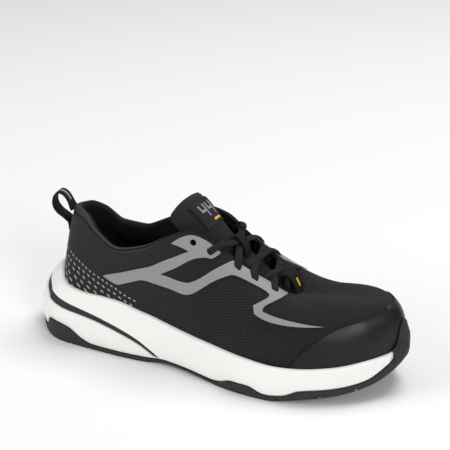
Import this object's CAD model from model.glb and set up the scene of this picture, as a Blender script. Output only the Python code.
"""Looks of a right safety sneaker, laid out as an add-on and run as a script."""

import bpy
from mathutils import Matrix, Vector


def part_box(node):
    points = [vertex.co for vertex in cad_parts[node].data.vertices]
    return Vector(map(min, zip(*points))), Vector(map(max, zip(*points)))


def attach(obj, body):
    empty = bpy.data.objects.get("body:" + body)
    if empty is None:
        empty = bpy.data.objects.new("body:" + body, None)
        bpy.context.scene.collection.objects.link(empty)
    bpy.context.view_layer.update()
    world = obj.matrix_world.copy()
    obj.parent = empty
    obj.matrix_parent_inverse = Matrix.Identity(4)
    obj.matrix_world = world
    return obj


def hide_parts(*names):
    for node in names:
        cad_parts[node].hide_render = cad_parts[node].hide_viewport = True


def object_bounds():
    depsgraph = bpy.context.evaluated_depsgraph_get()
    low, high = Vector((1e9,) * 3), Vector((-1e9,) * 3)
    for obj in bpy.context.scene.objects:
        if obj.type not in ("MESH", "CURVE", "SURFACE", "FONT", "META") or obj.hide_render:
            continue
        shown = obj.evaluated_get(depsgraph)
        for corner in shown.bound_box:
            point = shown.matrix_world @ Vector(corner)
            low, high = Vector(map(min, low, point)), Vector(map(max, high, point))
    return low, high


bl_info = {
    "name": "Safety Sneaker",
    "version": (1, 0, 0),
    "blender": (4, 5, 0),
    "location": "View3D > Sidebar > Sneaker",
    "description": "Builds a laced safety sneaker with a knitted upper on a foam sole",
    "category": "Object",
}

import bpy
import numpy as np
from bpy.props import FloatProperty, FloatVectorProperty, PointerProperty
from mathutils import Matrix, Vector
from mathutils.geometry import delaunay_2d_cdt

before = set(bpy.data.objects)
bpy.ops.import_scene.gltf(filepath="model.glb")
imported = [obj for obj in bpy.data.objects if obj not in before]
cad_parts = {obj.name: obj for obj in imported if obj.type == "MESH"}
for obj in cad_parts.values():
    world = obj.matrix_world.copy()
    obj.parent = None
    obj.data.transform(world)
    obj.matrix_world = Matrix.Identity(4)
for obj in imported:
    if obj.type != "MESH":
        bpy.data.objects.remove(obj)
CAD_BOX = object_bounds()

# Main sizes of the shoe in millimetres, as in the solids
SHOE_LENGTH = 300
BALL_WIDTH = 112.8
HEEL_WIDTH = 86.8
COLLAR_HEIGHT = 102.5
ANKLE_HEIGHT = 83
INSTEP_HEIGHT = 110
TOE_HEIGHT = 67
COLLAR_WIDTH = 64
THROAT_WIDTH = 45
HEEL_STACK = 26
BALL_STACK = 17.5
TOE_SPRING = 22
ARCH_LIFT = 2.8
CLEARANCE = 0.3

# Rubber of the sole in millimetres; flares and tapers are shares
HEEL_BEVEL = 10
HEEL_FLARE = 12
BEVEL_FLARE = 0.8
SIDE_FLARE = 0.8
EDGE_FLARE = 0.95
RUBBER_PLATE = 3
RUBBER_WALL = 2.2
RUBBER_ROUND = 1.2
RUBBER_SWEEP = 12.5
EDGE_ROUND = 0.3
INNER_ROUND = 0.2
GROOVE_DEPTH = 2
GROOVE_WIDTH = 2.6
GROOVE_START = 3
GROOVE_TAPER = 0.8
GROOVE_REACH = 1.2
GROOVE_FOLDS = 6
TREAD_ZIG = 7
BUMPER_HEIGHT = 57.5
BUMPER_STEP = 0.5
BUMPER_RIBS = 7
RIB_DEPTH = 1.1

# Where the bumper's ribs and its lip begin, as shares of the way round and of its height
RIB_START = 0.972
RIB_FADE = 0.012
RIB_REACH = 1.2
LIP_START = 0.55

# Foam and the band round its heel in millimetres; bulge, lip depth, crown and end are shares
FOAM_RIM = 48
FOAM_EDGE = 2.6
FOAM_INSET = 0.9
FOAM_LEDGE = 1
FOAM_ROUND = 0.5
FOAM_BULGE = 0.6
BAND_WIDTH = 5.2
BAND_RECESS = 1.2
BAND_LAYER = 1.6
BAND_LIP = 0.15
BAND_LIP_DEPTH = 0.4
BAND_DIP = 0.8
BAND_SINK = 0.02
BAND_FADE = 1.5
BAND_CROWN = 0.35
BAND_END = 0.004

# Upper and insole in millimetres; the collar's padding begins at a share of the way up
FEATHER_INSET = 6.5
UPPER_WALL = 2.2
COLLAR_PAD = 8
PAD_START, PAD_FADE = 0.5, 0.35
INSOLE_THICKNESS = 4
INSOLE_EDGE = ((0.6, 0.0), (0.15, 0.3), (0.0, 0.9))

# Films and eyelets in millimetres; margins and trims are shares of the way round
GUARD_FILM = 0.9
REFLECTIVE_FILM = 0.6
FILM_MARGIN = 0.09
FILM_EDGE = 0.02
GUARD_TRIM = 0.001
EYELET_RADIUS = 2.4
EYELET_CUT_IN = 8
EYELET_CUT_OUT = 4

# Tongue with its gussets and its patch in millimetres; spans and edges are shares
TONGUE_WIDTH = 54
TONGUE_PAD = 9
TONGUE_ROUNDNESS = 0.6
TONGUE_CLOTH = (180, 32)
GUSSET = 0.8
GUSSET_SAG = 1.5
GUSSET_DEPTH = 14
GUSSET_SPAN = (0.6, 0.8)
GUSSET_EDGE = 0.9
LABEL_START, LABEL_END, LABEL_HALF = 0.765, 0.935, 0.6
LABEL_RISE = 0.9
LABEL_THICKNESS = 0.6
LABEL_PRINT_RISE = 1
PRINT = 0.3
PRINT_RISE = 0.2

# Tapes in millimetres and degrees; spans are shares of a tape's length
WEBBING_THICKNESS = 1.4
LOOP_WIDTH = 10.4
LOOP_REACH = 19.2
LOOP_RISE = 8.9
LOOP_TWIST = 13
LOOP_PUFF = 0.7
STRIPE_WIDTH = 2.6
STRIPE_SPAN = (0.5, 0.86)
KEEPER_WIDTH = 14
KEEPER_RISE = 16
MARK_WIDTH = 2
MARK_SPAN = (0.1, 0.3)
STRAP_WIDTH = 9

# Dashes of the heel in millimetres; growth and widening per row, and lean, are shares
DASH_LENGTH = 2.5
DASH_WIDTH = 0.9
DASH_RISE = 0.25
DASH_GROWTH = 0.2
DASH_WIDENING = 0.06
DASH_LEAN_AT, DASH_LEAN_UP = 0.02, -0.055

# Sides of the shoe, and fineness of the meshes
OUTER, INNER = -1, 1
COLUMNS = 360
OUTSOLE_COLUMNS = 480
INSOLE_COLUMNS = 240
CROWDING = 0.38
CREST_START, CREST_SAMPLES = 0.35, 60
UPPER_ROWS = 73
LINING_ROWS = 31
RIM_STEP = 15
GUARD_COLUMNS, GUARD_ROWS = 220, 36
BUMPER_COLUMNS, BUMPER_ROWS = 121, 30
TONGUE_COLUMNS, TONGUE_ROWS = 48, 64
PATCH_ROWS, PATCH_COLUMNS = 140, 24
GUSSET_COLUMNS, GUSSET_ROWS = 40, 9
EYELET_SIDES = 20
DASH_SIDES = 10
FILM_STEP = 1.5
FILM_GRID = 2.5
FILM_GAP = 1
FILM_MERGE = 1e-4
TAPE_COLUMNS = 13
TAPE_STEP = 0.7
LACE_STEP = 0.9
CORD_SIDES = 12
PIPING_SIDES = 8
CORD_END = 0.55
SHARPEST_BEND = 48

# Aids for measuring: metres in a millimetre, small steps, and millimetres for one share round near the throat
TO_METRES = 0.001
NUDGE = 0.002
SMALLEST = 1e-9
HALVINGS = 24
HIGHEST_SOLE = 0.7
X_PER_AT = 215


def table(columns, *rows):
    """Columns of numbers under their names."""
    return dict(zip(columns.split(), np.array(rows, dtype=float).T))


# Half widths of each side's outline, as shares of the half width at the heel or the ball
OUTLINE = table(
    "along ball outer inner",
    [0.018, 0.0, 0.5, 0.5],
    [0.065, 0.0, 0.86, 0.86],
    [0.14, 0.0, 1.0, 1.0],
    [0.27, 0.22, 0.98, 0.87],
    [0.4, 0.55, 0.87, 0.67],
    [0.52, 0.85, 0.92, 0.69],
    [0.64, 1.0, 1.0, 0.9],
    [0.76, 1.0, 0.97, 0.98],
    [0.86, 1.0, 0.76, 0.86],
    [0.94, 1.0, 0.42, 0.66],
    [0.985, 1.0, 0.05, 0.4],
)
TOE_TIP_SIDE = 0.16
# Underside of the sole: its bevel, arch and toe spring as shares of their sizes, and the plate's thickness
GROUND = table(
    "along bevel arch spring plate",
    [-0.04, 1.0, 0.0, 0.0, 0.8],
    [-0.025, 0.6, 0.0, 0.0, 0.9],
    [-0.008, 0.3, 0.0, 0.0, 1.0],
    [0.012, 0.1, 0.0, 0.0, 1.0],
    [0.035, 0.0, 0.0, 0.0, 1.0],
    [0.34, 0.0, 0.0, 0.0, 1.0],
    [0.4, 0.0, 1.0, 0.0, 0.45],
    [0.46, 0.0, 1.0, 0.0, 0.35],
    [0.58, 0.0, 0.0, 0.0, 0.7],
    [0.71, 0.0, 0.0, 0.0, 1.0],
    [0.79, 0.0, 0.0, 0.17, 1.0],
    [0.89, 0.0, 0.0, 0.36, 1.0],
    [0.95, 0.0, 0.0, 0.6, 1.0],
    [0.975, 0.0, 0.0, 0.81, 1.0],
    [0.99, 0.0, 0.0, 1.03, 1.0],
    [1.0, 0.0, 0.0, 1.28, 1.0],
)
# Height of the footbed, as shares of the stacks and the toe spring
FOOTBED = table(
    "along heel ball spring",
    [0.0, 1.03, 0.0, 0.0],
    [0.12, 1.0, 0.0, 0.0],
    [0.3, 0.95, 0.0, 0.0],
    [0.5, 0.35, 0.65, 0.0],
    [0.66, 0.0, 1.0, 0.0],
    [0.8, 0.0, 1.0, 0.06],
    [0.92, 0.0, 1.0, 0.25],
    [1.0, 0.0, 1.0, 0.46],
)
# Foam from the heel (at 0) to the toe (at 1): rim height, heel flare, and what the bumper covers
FOAM = table(
    "at rim flare cover",
    [0.0, 1.2, 1.0, 0.0],
    [0.05, 1.16, 0.85, 0.0],
    [0.1, 1.04, 0.5, 0.0],
    [0.15, 0.98, 0.22, 0.0],
    [0.2, 0.96, 0.05, 0.0],
    [0.25, 0.97, 0.0, 0.0],
    [0.3, 0.95, 0.0, 0.0],
    [0.36, 0.84, 0.0, 0.0],
    [0.45, 0.68, 0.0, 0.0],
    [0.58, 0.61, 0.0, 0.0],
    [0.7, 0.57, 0.0, 0.0],
    [0.82, 0.6, 0.0, 0.0],
    [0.9, 0.66, 0.0, 0.0],
    [0.945, 0.68, 0.0, 0.0],
    [0.958, 0.69, 0.0, 1.0],
    [1.0, 0.72, 0.0, 1.0],
)
# Rise of the rubber's upper edge
SWEEP = table(
    "at sweep",
    [0.0, 0.05],
    [0.07, 0.05],
    [0.085, 0.2],
    [0.1, 0.95],
    [0.13, 1.0],
    [0.16, 0.85],
    [0.19, 0.35],
    [0.22, 0.08],
    [0.26, 0.03],
    [0.53, 0.03],
    [0.56, 0.15],
    [0.59, 0.42],
    [0.63, 0.4],
    [0.67, 0.06],
    [0.71, 0.06],
    [0.75, 0.28],
    [0.82, 0.2],
    [0.89, 0.14],
    [0.92, 0.26],
    [0.94, 0.34],
    [0.955, 0.36],
    [0.965, 0.6],
    [0.98, 0.45],
    [1.0, 0.2],
)
# Upper edge of the toe bumper
BUMPER = table(
    "at top",
    [0.96, 0.03],
    [0.968, 0.12],
    [0.975, 0.38],
    [0.979, 0.6],
    [0.987, 0.82],
    [1.0, 1.0],
)
# Pull of the bumper's face out from the sole's outline and back in to the upper
BUMPER_BULGE = table("share bulge", [0, 0], [0.25, 1], [0.6, 1], [1, -1])
# Stretches of the tread
TREAD = table("start end grooves", [0.1, 0.35, 5], [0.65, 0.92, 4])
# Ribs of the upper from the heel (at 0) to the front of the throat (at 1): where each ends, leans and bends
RIB_COLUMNS = "at along side height rise lean reach crown pad"
OUTER_RIBS = table(
    RIB_COLUMNS,
    [0.0, 0.058, 0.0, COLLAR_HEIGHT, 0.38, -4.0, 0.66, -0.27, 1.0],
    [0.083, 0.078, 0.17 * COLLAR_WIDTH, COLLAR_HEIGHT * 1.01, 0.38, -3.0, 0.5, -0.27, 1.0],
    [0.167, 0.125, 0.35 * COLLAR_WIDTH, COLLAR_HEIGHT * 1.0, 0.4, -0.5, 0.4, -0.28, 1.0],
    [0.25, 0.178, 0.47 * COLLAR_WIDTH, COLLAR_HEIGHT * 0.9, 0.42, 1.0, 0.3, -0.3, 1.0],
    [0.333, 0.248, 0.5 * COLLAR_WIDTH, ANKLE_HEIGHT, 0.42, 1.5, 0.3, -0.3, 1.0],
    [0.4, 0.325, 0.5 * COLLAR_WIDTH, ANKLE_HEIGHT * 1.075, 0.4, 1.0, 0.3, -0.3, 0.9],
    [0.45, 0.392, 0.475 * COLLAR_WIDTH, INSTEP_HEIGHT * 0.92, 0.4, 0.5, 0.32, -0.3, 0.5],
    [0.49, 0.458, 0.56 * THROAT_WIDTH, INSTEP_HEIGHT, 0.4, 0.5, 0.35, -0.28, 0.15],
    [0.52, 0.494, 0.5 * THROAT_WIDTH, INSTEP_HEIGHT * 0.975, 0.42, 1.0, 0.38, -0.25, 0.05],
    [0.583, 0.547, 0.44 * THROAT_WIDTH, INSTEP_HEIGHT * 0.875, 0.46, 2.0, 0.42, -0.2, 0.0],
    [0.667, 0.613, 0.4 * THROAT_WIDTH, INSTEP_HEIGHT * 0.765, 0.55, 3.5, 0.45, -0.1, 0.0],
    [0.75, 0.667, 0.34 * THROAT_WIDTH, INSTEP_HEIGHT * 0.685, 0.75, 3.5, 0.45, -0.02, 0.0],
    [0.833, 0.688, 0.23 * THROAT_WIDTH, TOE_HEIGHT * 1.02, 0.98, 3.0, 0.5, 0.03, 0.0],
    [0.917, 0.699, 0.12 * THROAT_WIDTH, TOE_HEIGHT * 0.985, 1.2, 5.0, 0.65, 0.12, 0.0],
    [1.0, 0.702, 0.0, TOE_HEIGHT * 0.965, 1.4, 10.0, 0.8, 0.08, 0.0],
)
INNER_RIBS = table(
    RIB_COLUMNS,
    [0.083, 0.075, 0.18 * COLLAR_WIDTH, COLLAR_HEIGHT * 0.995, 0.38, -3.0, 0.5, -0.27, 1.0],
    [0.167, 0.108, 0.36 * COLLAR_WIDTH, COLLAR_HEIGHT * 0.925, 0.4, -0.5, 0.4, -0.28, 1.0],
    [0.25, 0.15, 0.47 * COLLAR_WIDTH, ANKLE_HEIGHT * 0.985, 0.42, 1.0, 0.3, -0.3, 1.0],
    [0.333, 0.215, 0.5 * COLLAR_WIDTH, ANKLE_HEIGHT * 0.965, 0.42, 1.5, 0.3, -0.3, 1.0],
    [0.4, 0.29, 0.49 * COLLAR_WIDTH, ANKLE_HEIGHT * 1.08, 0.4, 1.0, 0.3, -0.3, 0.9],
    [0.45, 0.36, 0.46 * COLLAR_WIDTH, INSTEP_HEIGHT * 0.935, 0.4, 0.5, 0.32, -0.3, 0.5],
    [0.49, 0.435, 0.56 * THROAT_WIDTH, INSTEP_HEIGHT, 0.4, 0.5, 0.35, -0.28, 0.15],
    [0.52, 0.48, 0.5 * THROAT_WIDTH, INSTEP_HEIGHT * 0.985, 0.42, 1.0, 0.38, -0.25, 0.05],
    [0.583, 0.54, 0.44 * THROAT_WIDTH, INSTEP_HEIGHT * 0.89, 0.46, 2.0, 0.42, -0.2, 0.0],
    [0.667, 0.608, 0.4 * THROAT_WIDTH, INSTEP_HEIGHT * 0.78, 0.55, 3.0, 0.45, -0.1, 0.0],
    [0.75, 0.662, 0.34 * THROAT_WIDTH, INSTEP_HEIGHT * 0.68, 0.76, 3.0, 0.45, -0.1, 0.0],
    [0.833, 0.687, 0.23 * THROAT_WIDTH, TOE_HEIGHT * 1.02, 1.05, 5.0, 0.52, -0.03, 0.0],
    [0.917, 0.699, 0.12 * THROAT_WIDTH, TOE_HEIGHT * 0.985, 1.42, 10.5, 0.74, 0.03, 0.0],
)
# Band round the heel: its middle as a share of the foam's rim, and its width
BAND = table(
    "along height width",
    [-0.05, 1.02, 1.3],
    [-0.03, 0.93, 1.35],
    [-0.01, 0.85, 1.35],
    [0.02, 0.77, 1.35],
    [0.08, 0.7, 1.3],
    [0.127, 0.65, 1.15],
    [0.173, 0.61, 1.05],
    [0.227, 0.54, 1.0],
    [0.287, 0.43, 0.95],
    [0.327, 0.32, 0.85],
    [0.357, 0.2, 0.8],
    [0.39, 0.06, 0.8],
    [0.41, -0.05, 0.8],
)
# Upper edge of the toe guard, as a share of the way up the ribs
GUARD = table(
    "at up",
    [0.71, 0.0],
    [0.73, 0.1],
    [0.76, 0.2],
    [0.8, 0.28],
    [0.85, 0.34],
    [0.9, 0.36],
    [0.95, 0.39],
    [1.0, 0.46],
)
# Lace: millimetres that it runs forward over each eyelet's edge and under the next, row by row
LACE_CREST = (0, 8, 1, 1, 6)
LACE_DIVE = (0, 8, 6.4, 9, 0)
LACE_RISE = 3
LACE_SAG = -1.5
# Where it dips under an edge, how far it clears the wall inside and outside, where it lands, ends and bars
UNDER_SHARE, UNDER_UP, UNDER_LIFT = 0.6, 0.97, 0.4
LACE_INSIDE, LACE_OUTSIDE = 0.8, 0.5
LANDING_INSET, LANDING_SHARE = 3, 0.3
LACE_END = (3.5, -6, -1)
LACE_BAR_X = 205
# Outward directions of its flat face, mirrored for the outer side: over an edge, midway, landing, at its end
OVER_EDGE = (0.3, 0.35, 0.9)
MIDWAY = (0.5, 0, 0.85)
LANDING = (0.3, -0.3, 0.9)
AT_END = (0.35, 0, 0.93)
# Eyelets and corners of the films: share of the way from the heel to the toe, share of the way up the rib
EYELETS = [(0.492, 0.9), (0.529, 0.86), (0.617, 0.9), (0.672, 0.88), (0.733, 0.83)]
FILM = np.array([
    (0.262, 0.534), (0.301, 0.657), (0.338, 0.747), (0.379, 0.79), (0.433, 0.81), (0.483, 0.815),
    (0.458, 0.95), (0.468, 0.97), (0.496, 0.97), (0.563, 0.93), (0.537, 0.8), (0.517, 0.79),
    (0.467, 0.71), (0.425, 0.685), (0.467, 0.555), (0.483, 0.54), (0.517, 0.625),
    (0.588, 0.89), (0.608, 0.97), (0.74, 0.97), (0.84, 0.985), (0.78, 0.82),
    (0.725, 0.68), (0.68, 0.575), (0.675, 0.525), (0.71, 0.485), (0.775, 0.425),
    (0.821, 0.388), (0.746, 0.4), (0.675, 0.445), (0.652, 0.485), (0.652, 0.56),
    (0.7, 0.68), (0.706, 0.73), (0.688, 0.785), (0.608, 0.8), (0.579, 0.735),
    (0.492, 0.46), (0.472, 0.438), (0.45, 0.485), (0.385, 0.655), (0.356, 0.622), (0.329, 0.574),
    (0.301, 0.501),
])
# The inner film ends sooner: its corners in place of the three at the outer film's front
FRONT_CORNERS = slice(19, 22)
INNER_FILM = FILM.copy()
INNER_FILM[FRONT_CORNERS] = [(0.7, 0.93), (0.715, 0.8), (0.718, 0.75)]
INNER_FILM_END = 0.72
# Millimetres in the plane where a film is cut, for one share round and one share up
FILM_PLANE = np.array([390.0, 90.0])
# Tongue from the toe end to its top: middle line, shares of its width and its padding, and drop of its sides
TONGUE = table(
    "share along height width drop pad",
    [0.0, 0.735, 0.515 * INSTEP_HEIGHT, 0.6, 4, 0.2],
    [0.1, 0.7, 0.54 * INSTEP_HEIGHT, 0.72, 7, 0.35],
    [0.25, 0.655, 0.605 * INSTEP_HEIGHT, 0.82, 12, 0.4],
    [0.45, 0.59, 0.735 * INSTEP_HEIGHT, 0.84, 15, 0.45],
    [0.65, 0.52, 0.88 * INSTEP_HEIGHT, 0.78, 15, 0.5],
    [0.8, 0.47, 1.005 * INSTEP_HEIGHT, 0.76, 14, 0.75],
    [0.9, 0.435, 1.08 * INSTEP_HEIGHT, 0.82, 11, 1.0],
    [0.98, 0.406, 1.13 * INSTEP_HEIGHT, 0.86, 8, 0.85],
    [1.0, 0.399, 1.138 * INSTEP_HEIGHT, 0.78, 7, 0.3],
)
# Piping of the collar: seam on the side at the heel, then over the rim
PIPING_UP, PIPING_ANGLE, PIPING_SEAT = 0.975, 40, 0.2
PIPING_RISE = table("at share", [0.1, 0], [0.25, 1])
# Pull loop and keeper: shares of the reach and the rise of their free tape, and how far the tape is turned
LOOP = table(
    "back rise",
    [0.42, 0.15],
    [0.8, 0.33],
    [0.98, 0.53],
    [0.98, 0.74],
    [0.87, 0.91],
    [0.67, 1.0],
    [0.46, 0.94],
    [0.3, 0.78],
    [0.17, 0.56],
)
LOOP_TURN = table("share turn", [0.0, 0.0], [0.3, 0.2], [0.55, 1.0], [0.85, 1.0], [1.0, 0.0])
# Seam of the loop on the heel: share of the way up, and shares of the tape's seat over the skin
LOOP_SEAM = ((0.69, -0.5), (0.74, 0.1), (0.78, 1.0))
LOOP_END = 0.93
KEEPER_SHARE = 0.24
KEEPER_FRONT = 0.97
KEEPER = table("back rise", [0.17, 0.5], [0.43, 0.93], [0.73, 0.93], [1.03, 0.55])
# Printed dashes of the heel: row, place in the row, and where it lies
DASHES = table(
    "row place at up",
    [0, 0, 0.0, 0.61],
    [0, 1, 0.035, 0.59],
    [0, 2, 0.07, 0.575],
    [0, 4, 0.129, 0.564],
    [0, 6, 0.161, 0.532],
    [0, 9, 0.201, 0.494],
    [0, 12, 0.245, 0.478],
    [0, 16, 0.296, 0.44],
    [0, 20, 0.342, 0.357],
    [1, 0, 0.03, 0.53],
    [1, 1, 0.075, 0.515],
    [1, 2, 0.116, 0.504],
    [1, 5, 0.175, 0.447],
    [1, 8, 0.227, 0.418],
    [1, 12, 0.288, 0.365],
    [1, 15, 0.33, 0.293],
    [2, 0, 0.01, 0.475],
    [2, 1, 0.055, 0.46],
    [2, 2, 0.095, 0.445],
    [2, 4, 0.153, 0.414],
    [2, 7, 0.213, 0.356],
    [2, 9, 0.251, 0.325],
    [2, 11, 0.287, 0.285],
    [3, 0, 0.02, 0.41],
    [3, 1, 0.065, 0.395],
    [3, 2, 0.105, 0.38],
    [3, 4, 0.164, 0.338],
    [3, 6, 0.208, 0.297],
    [3, 8, 0.252, 0.259],
    [4, 0, 0.03, 0.355],
    [4, 1, 0.075, 0.34],
    [4, 2, 0.115, 0.321],
    [4, 4, 0.175, 0.269],
    [4, 6, 0.224, 0.229],
    [5, 0, 0.04, 0.31],
    [5, 1, 0.085, 0.29],
    [5, 2, 0.125, 0.265],
    [5, 4, 0.186, 0.201],
)
# Strap on the tongue: millimetres along the foot and above the tongue
STRAP = [(160, 0.5), (161, 4.5), (164, 7.5), (168, 7.5), (171, 5), (172.5, 0.5)]

# Stage: camera in millimetres and degrees, lights as name, place, aim, size and power in metres and watts
CAMERA_PLACE = (566.07, -799.27, 478.66)
CAMERA_TURN, CAMERA_LIFT, CAMERA_ROLL = 27.357, 22.338, 0.66
CAMERA_LENS = 101.8
CAMERA_CLIP = (0.05, 20)
FLOOR_REACH = 6
WORLD_LIGHT = 0.32
LIGHTS = (
    ("rear_softbox", (0.4, 0.9, 2.2), (0, 0, 0), 1.3, 32),
    ("right_softbox", (1.7, -1.3, 1.1), (0, 0, 0.05), 0.9, 21),
    ("left_softbox", (-1.7, -1.5, 1.2), (0, 0, 0.05), 1.4, 22),
)


# Curves and surfaces of the shoe

def smooth(keys, values, at):
    """Monotone curve through the rows, read at many places."""
    at = np.asarray(at, dtype=float)
    steps = np.diff(values) / np.diff(keys)
    slopes = np.zeros(len(keys))
    slopes[0], slopes[-1] = steps[0], steps[-1]
    product = steps[:-1] * steps[1:]
    total = np.where(product > 0, steps[:-1] + steps[1:], 1)
    slopes[1:-1] = np.where(product > 0, 2 * product / total, 0)
    i = np.clip(np.searchsorted(keys, at, side="right") - 1, 0, len(keys) - 2)
    span = keys[i + 1] - keys[i]
    u = np.clip((at - keys[i]) / span, 0, 1)
    rest = 1 - u
    return (
        values[i] * rest**2 * (1 + 2 * u)
        + values[i + 1] * u**2 * (3 - 2 * u)
        + slopes[i] * span * u * rest**2
        - slopes[i + 1] * span * u**2 * rest
    )


def read(rows, key, name, at):
    return smooth(rows[key], rows[name], at)


def mix(rows, at, **sizes):
    return sum(read(rows, "along", name, at) * size for name, size in sizes.items())


def ground(x):
    return mix(GROUND, x / SHOE_LENGTH, bevel=HEEL_BEVEL, arch=ARCH_LIFT, spring=TOE_SPRING)


def footbed(x):
    return mix(FOOTBED, x / SHOE_LENGTH, heel=HEEL_STACK, ball=BALL_STACK, spring=TOE_SPRING)


def plate_top(x):
    return ground(x) + RUBBER_PLATE * read(GROUND, "along", "plate", x / SHOE_LENGTH)


def closed_curve(points, samples=400):
    """Centripetal curve through a closed loop of points, as dense points of each span."""
    n = len(points)
    spans = []
    u = np.linspace(0, 1, samples, endpoint=False)[:, None]
    for i in range(n):
        p = [points[(i + k) % n] for k in (-1, 0, 1, 2)]
        d = [np.sqrt(np.linalg.norm(p[k + 1] - p[k])) for k in range(3)]
        start = (p[1] - p[0]) / d[0] - (p[2] - p[0]) / (d[0] + d[1]) + (p[2] - p[1]) / d[1]
        end = (p[2] - p[1]) / d[1] - (p[3] - p[1]) / (d[1] + d[2]) + (p[3] - p[2]) / d[2]
        start, end = start * d[1], end * d[1]
        square = 3 * (p[2] - p[1]) - 2 * start - end
        cube = 2 * (p[1] - p[2]) + start + end
        spans.append(p[1] + start * u + square * u**2 + cube * u**3)
    return spans


def outline_samples():
    """Points and directions of the sole's outline at even lengths of each half."""
    half = (HEEL_WIDTH + (BALL_WIDTH - HEEL_WIDTH) * OUTLINE["ball"]) / 2
    along = OUTLINE["along"] * SHOE_LENGTH
    outer = np.stack([along, OUTER * OUTLINE["outer"] * half], 1)
    inner = np.stack([along, INNER * OUTLINE["inner"] * half], 1)[::-1]
    toe = np.array([[SHOE_LENGTH, TOE_TIP_SIDE * BALL_WIDTH / 2]])
    points = np.concatenate([[[0.0, 0.0]], outer, toe, inner])
    spans = closed_curve(points)
    first = np.concatenate(spans[: len(outer) + 1] + [toe])
    second = np.concatenate(spans[len(outer) + 1 :] + [[[0.0, 0.0]]])
    rows = []
    for part, start in ((first, 0.0), (second, 0.5)):
        lengths = np.concatenate([[0], np.cumsum(np.linalg.norm(np.diff(part, axis=0), axis=1))])
        turns = start + 0.5 * lengths / lengths[-1]
        rows.append(np.column_stack([turns, part])[:-1])
    rows = np.concatenate(rows + [[[1.0, 0.0, 0.0]]])
    run = np.roll(rows[:-1, 1:], -1, axis=0) - np.roll(rows[:-1, 1:], 1, axis=0)
    run /= np.linalg.norm(run, axis=1)[:, None]
    return rows, np.concatenate([run, run[:1]])


OUTLINE_ROWS, OUTLINE_RUN = outline_samples()


def wrap(turn):
    return np.asarray(turn, dtype=float) % 1.0


def half_share(turn):
    whole = wrap(turn)
    return np.where(whole <= 0.5, 2 * whole, 2 - 2 * whole)


def plan_point(turn, inset=0.0, z=0.0):
    """Point of the sole's outline at a turn, moved inward."""
    whole = wrap(turn)
    keys = OUTLINE_ROWS[:, 0]
    x, y = (np.interp(whole, keys, OUTLINE_ROWS[:, k]) for k in (1, 2))
    run_x, run_y = (np.interp(whole, keys, OUTLINE_RUN[:, k]) for k in (0, 1))
    z = np.broadcast_to(z, np.broadcast_shapes(np.shape(x), np.shape(z)))
    return np.stack(np.broadcast_arrays(x - run_y * inset, y + run_x * inset, z), -1)


def sole_point(turn, inset=0.0, z=0.0, share=1.0):
    """Point of the sole's side, with a share of its flare behind the last."""
    flare = HEEL_FLARE * read(FOAM, "at", "flare", half_share(turn))
    return plan_point(turn, inset - share * flare, z)


def set_height(points, heights):
    points = points.copy()
    points[..., 2] = heights
    return points


def rib_loop():
    """The ribs of both halves as one loop of turns, repeated a little past its ends."""
    loop = {}
    for name in RIB_COLUMNS.split():
        outer, inner = OUTER_RIBS[name], INNER_RIBS[name][::-1]
        if name == "side":
            outer = outer * OUTER
        if name == "at":
            outer, inner = outer / 2, 1 - inner / 2
        loop[name] = np.concatenate([outer, inner])
    for name, values in loop.items():
        shift = 1.0 if name == "at" else 0.0
        loop[name] = np.concatenate([values[-3:] - shift, values, values[:3] + shift])
    return loop


RIBS = rib_loop()


def skin(turn, up):
    """Outer face of the upper at a turn and a share of the way up its rib."""
    turn, up = np.broadcast_arrays(wrap(turn), np.asarray(up, dtype=float))
    value = {name: read(RIBS, "at", name, turn) for name in RIB_COLUMNS.split()[1:-1]}
    foot = plan_point(turn, FEATHER_INSET)
    foot[..., 2] = footbed(foot[..., 0]) + CLEARANCE
    outward = plan_point(turn) - plan_point(turn, 1.0)
    edge = np.stack([value["along"] * SHOE_LENGTH, value["side"], value["height"]], -1)
    climb = edge[..., 2] - foot[..., 2]
    spread = foot - edge
    spread[..., 2] = 0
    low = foot + outward * value["lean"][..., None]
    low[..., 2] += value["rise"] * climb
    high = edge + spread * value["reach"][..., None]
    high[..., 2] += value["crown"] * climb
    u, rest = up[..., None], 1 - up[..., None]
    return foot * rest**3 + 3 * low * u * rest**2 + 3 * high * u**2 * rest + edge * u**3


def skin_normal(turn, up):
    """Outward direction of the upper's outer face."""
    turn, up = np.broadcast_arrays(np.asarray(turn, dtype=float), np.asarray(up, dtype=float))
    across = skin(turn + NUDGE, up) - skin(turn - NUDGE, up)
    rising = skin(turn, np.clip(up + NUDGE, 0, 1)) - skin(turn, np.clip(up - NUDGE, 0, 1))
    normal = np.cross(across, rising)
    return normal / np.linalg.norm(normal, axis=-1, keepdims=True)


def over_skin(turn, up, distance=0.0):
    return skin(turn, up) + skin_normal(turn, up) * np.asarray(distance)[..., None]


def up_at_height(turn, height):
    """Share of the way up the rib where the skin has a height, found by halving."""
    low, high = np.zeros(np.shape(turn)), np.full(np.shape(turn), HIGHEST_SOLE)
    for _ in range(HALVINGS):
        middle = (low + high) / 2
        below = skin(turn, middle)[..., 2] < height
        low, high = np.where(below, middle, low), np.where(below, high, middle)
    return (low + high) / 2


def at_height(turn, height, distance):
    return set_height(over_skin(turn, up_at_height(turn, height), distance), height)


def wall_thickness(turn, up):
    """Wall of the upper, which swells to the padded collar."""
    pad = read(RIBS, "at", "pad", wrap(turn))
    share = np.clip((np.asarray(up) - PAD_START) / PAD_FADE, 0, 1)
    filling = pad * share**2 * (3 - 2 * share)
    return UPPER_WALL + (COLLAR_PAD - UPPER_WALL) * filling


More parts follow.
